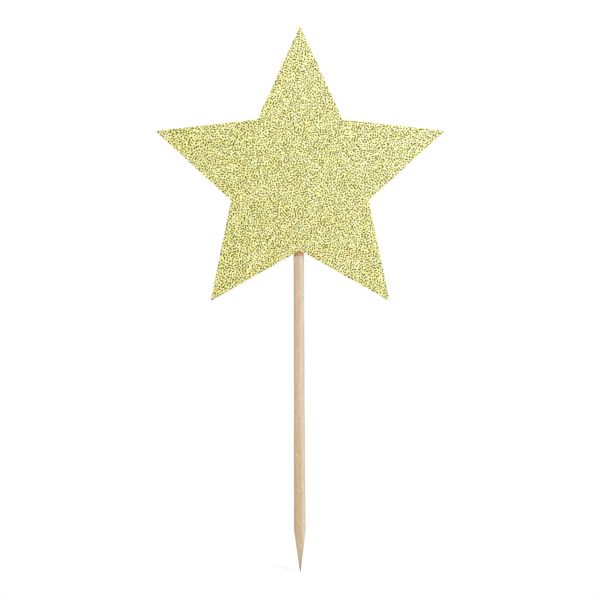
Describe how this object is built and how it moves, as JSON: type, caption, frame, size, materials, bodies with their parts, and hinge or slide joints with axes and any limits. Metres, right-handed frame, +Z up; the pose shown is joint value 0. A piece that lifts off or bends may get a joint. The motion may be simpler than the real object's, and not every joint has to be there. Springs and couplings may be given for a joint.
{
  "type": "cake topper",
  "caption": "Flat star of gold glitter card glued to a round wooden pick with a sharpened end, pushed into a cake or cupcake as decoration.",
  "frame": {"origin": "the tip of the pick's point, on the pick's axis", "axes": "+Z up along the pick to the star's top tip, -Y the way the glittered face looks, +X to the right seen from that side"},
  "size_m": [0.066, 0.0031, 0.1257],
  "materials": {
    "glitter": "pale gold metallic glitter flakes in clear binder",
    "card": "uncoated white card with a fine fibre texture",
    "birch": "untreated birch with fine straight grain",
    "glue": "translucent hot-melt glue, smooth"
  },
  "bodies": {
    "root": {"glitter_coat": "glitter", "star_card": "card", "pick": "birch", "glue_bead": "glue"}
  },
  "joints": []
}
